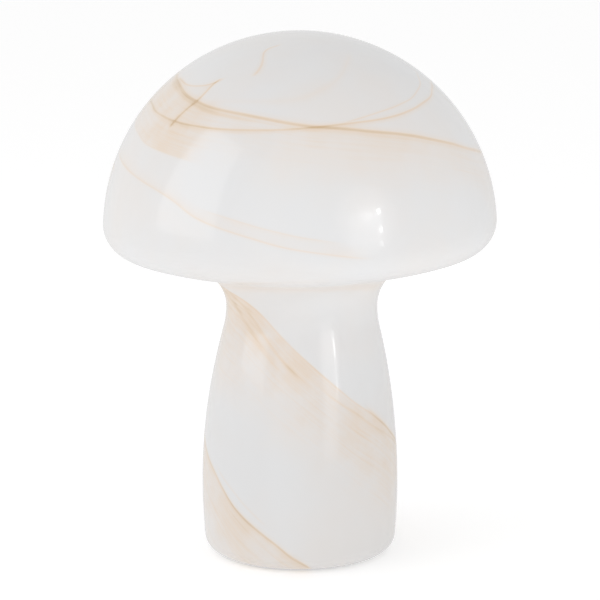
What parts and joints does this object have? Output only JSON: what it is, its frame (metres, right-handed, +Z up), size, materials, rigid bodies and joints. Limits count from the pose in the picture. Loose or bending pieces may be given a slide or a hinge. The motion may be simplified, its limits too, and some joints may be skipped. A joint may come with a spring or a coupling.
{
  "type": "mushroom table lamp",
  "caption": "Mushroom-shaped table lamp: one blown opal glass body lifting off a steel base plate that carries a lamp holder and bulb.",
  "frame": {"origin": "centre of the lamp's footprint at the surface it stands on", "axes": "+Z up along the glass body's axis, +Y to the back where the cord enters, -Y to the front"},
  "size_m": [0.2196, 0.2196, 0.295],
  "materials": {
    "opal_glass": "mouth-blown opal glass, cased clear and glossy, white with thin caramel swirls",
    "zinc_steel": "zinc-plated pressed steel",
    "spring_steel": "bright spring steel strip",
    "rivet_aluminium": "plain aluminium",
    "clear_silicone": "translucent silicone",
    "black_rubber": "matte black rubber",
    "white_rubber": "matte white rubber",
    "white_cover": "fine-textured white plastic",
    "white_holder": "glossy white thermoplastic",
    "contact_ceramic": "unglazed white steatite",
    "shell_brass": "rolled brass",
    "contact_brass": "sprung brass strip",
    "screw_steel": "plated screw steel",
    "bulb_cap_metal": "nickel-plated aluminium",
    "insulator_black": "black vitrite",
    "tip_solder": "soldered tip",
    "bulb_housing_white": "white moulded housing",
    "bulb_dome_opal": "frosted opal polycarbonate",
    "board_white": "white lacquered aluminium board",
    "chip_phosphor": "yellow phosphor gel",
    "driver_green": "green circuit board"
  },
  "bodies": {
    "base": {"base_plate": "zinc_steel", "glass_gasket": "clear_silicone", "rubber_feet": "black_rubber", "bottom_cover": "white_cover", "cable_grommet": "white_rubber", "spring_clips": "spring_steel", "clip_rivets": "rivet_aluminium", "threaded_nipple": "screw_steel", "nipple_nut": "screw_steel", "toothed_washer": "spring_steel", "holder_cap": "white_holder", "holder_sleeve": "white_holder", "contact_block": "contact_ceramic", "holder_screw_shell": "shell_brass", "centre_contact": "contact_brass", "neutral_contact": "contact_brass", "terminal_screws": "screw_steel"},
    "glass": {"glass_shade": "opal_glass"},
    "bulb": {"bulb_screw_cap": "bulb_cap_metal", "bulb_insulator": "insulator_black", "bulb_tip_contact": "tip_solder", "bulb_housing": "bulb_housing_white", "bulb_dome": "bulb_dome_opal", "led_board": "board_white", "led_chips": "chip_phosphor", "led_driver": "driver_green"}
  },
  "joints": [
    {"name": "glass_lift", "type": "slide", "parent": "base", "child": "glass", "axis": [0, 0, 1], "range_m": [0, 0.17]},
    {"name": "bulb_turn", "type": "hinge", "parent": "base", "child": "bulb", "pos_m": [0, 0, 0.06], "axis": [0, 0, 1], "range_deg": [0, 1800]}
  ]
}
